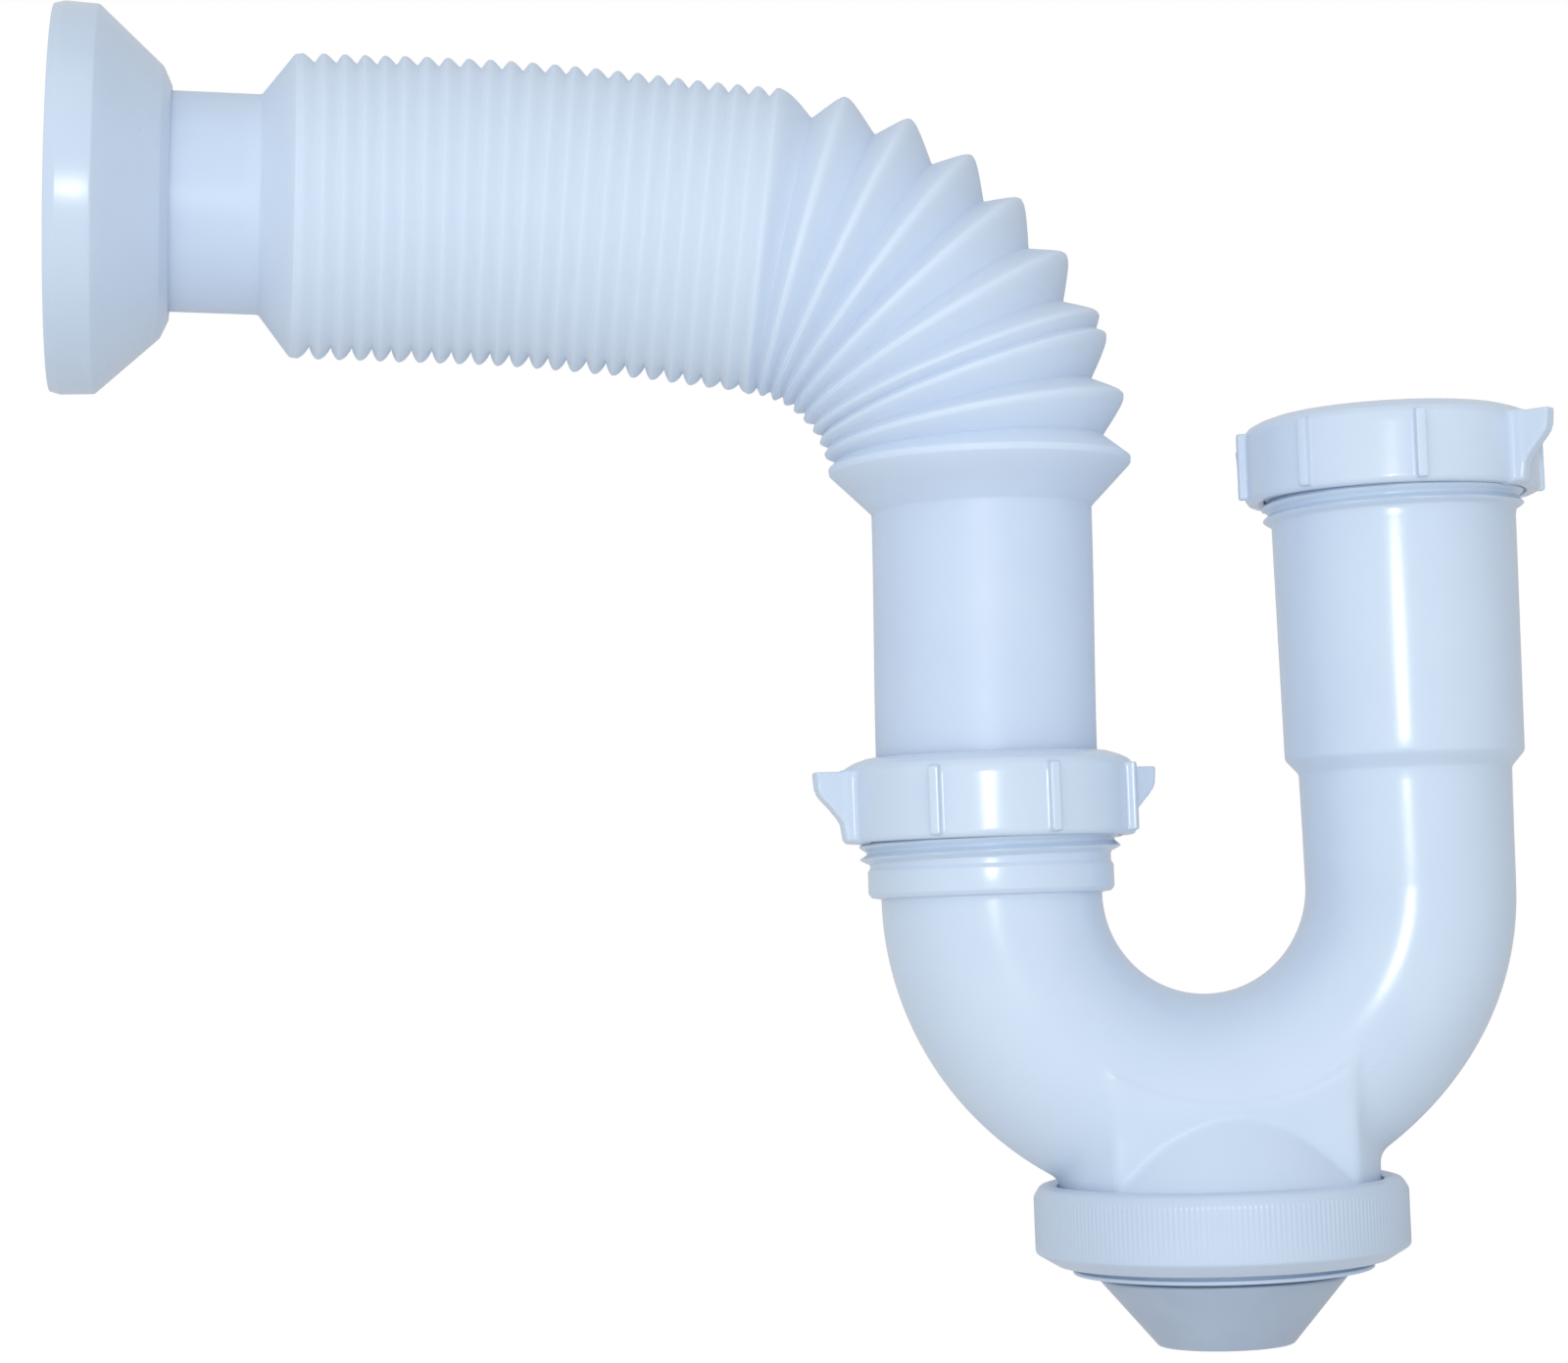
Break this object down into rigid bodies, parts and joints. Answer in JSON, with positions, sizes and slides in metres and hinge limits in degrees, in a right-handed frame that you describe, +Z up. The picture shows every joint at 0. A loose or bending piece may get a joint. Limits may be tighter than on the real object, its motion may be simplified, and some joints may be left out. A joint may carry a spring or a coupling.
{
  "type": "flexible trap",
  "caption": "U-shaped waste trap with slip-nut inlet, screwed cleanout cup below, and a corrugated flexible outlet hose that ends in a plain cuff with a round wall flange.",
  "frame": {"origin": "middle of the inlet socket's mouth, on the inlet leg's axis", "axes": "+Z up along the inlet leg, out of the inlet; -X towards the outlet, so that the U lies in the XZ plane; the picture looks from -Y"},
  "size_m": [0.2754, 0.0743, 0.2483],
  "materials": {
    "body_plastic": "smooth glossy injection moulding, cool white",
    "nut_plastic": "glossy, cool white",
    "ring_plastic": "glossy, finely knurled, cool white",
    "cup_plastic": "smooth, grey blue white, a little translucent",
    "hose_plastic": "satin blow moulding, cool white",
    "flange_plastic": "satin, cool white",
    "seal_rubber": "matt grey rubber"
  },
  "bodies": {
    "trap": {"trap_body": "body_plastic", "inlet_sleeve": "body_plastic"},
    "inlet_seal": {"inlet_washer": "seal_rubber"},
    "inlet_slip_nut": {"inlet_nut": "nut_plastic"},
    "outlet_seal": {"outlet_washer": "seal_rubber"},
    "outlet_slip_nut": {"outlet_nut": "nut_plastic"},
    "cleanout": {"cleanout_cup": "cup_plastic", "cleanout_gasket": "seal_rubber"},
    "cleanout_nut": {"cleanout_ring_nut": "ring_plastic"},
    "hose": {"flexible_hose": "hose_plastic"},
    "flange": {"wall_flange": "flange_plastic"}
  },
  "joints": [
    {"name": "inlet_washer_lift", "type": "slide", "parent": "trap", "child": "inlet_seal", "axis": [0, 0, 1], "range_m": [0, 0.00815]},
    {"name": "inlet_nut_turn", "type": "hinge", "parent": "inlet_seal", "child": "inlet_slip_nut", "pos_m": [0, 0, 0], "axis": [0, 0, 1], "range_deg": [0, 1260]},
    {"name": "outlet_washer_lift", "type": "slide", "parent": "trap", "child": "outlet_seal", "axis": [0, 0, 1], "range_m": [0, 0.00815]},
    {"name": "outlet_nut_turn", "type": "hinge", "parent": "outlet_seal", "child": "outlet_slip_nut", "pos_m": [-0.0768, 0, -0.0594], "axis": [0, 0, 1], "range_deg": [0, 1260]},
    {"name": "cleanout_cup_drop", "type": "slide", "parent": "trap", "child": "cleanout", "axis": [0, 0, -1], "range_m": [0, 0.0091]},
    {"name": "cleanout_nut_turn", "type": "hinge", "parent": "cleanout", "child": "cleanout_nut", "pos_m": [-0.0374, 0, -0.141], "axis": [0, 0, -1], "range_deg": [0, 1080]},
    {"name": "hose_swivel", "type": "hinge", "parent": "trap", "child": "hose", "pos_m": [-0.0768, 0, -0.0594], "axis": [0, 0, 1], "continuous": true},
    {"name": "hose_extend", "type": "slide", "parent": "hose", "child": "flange", "axis": [-0.9927, -0.1131, 0.0419], "range_m": [0, 0.12], "deforming": ["flexible_hose"]}
  ],
  "couplings": [
    {"joint": "inlet_washer_lift", "follows": "inlet_nut_turn", "m_per_rad": 0.00036749},
    {"joint": "outlet_washer_lift", "follows": "outlet_nut_turn", "m_per_rad": 0.00036749},
    {"joint": "cleanout_cup_drop", "follows": "cleanout_nut_turn", "m_per_rad": 0.00047746}
  ]
}
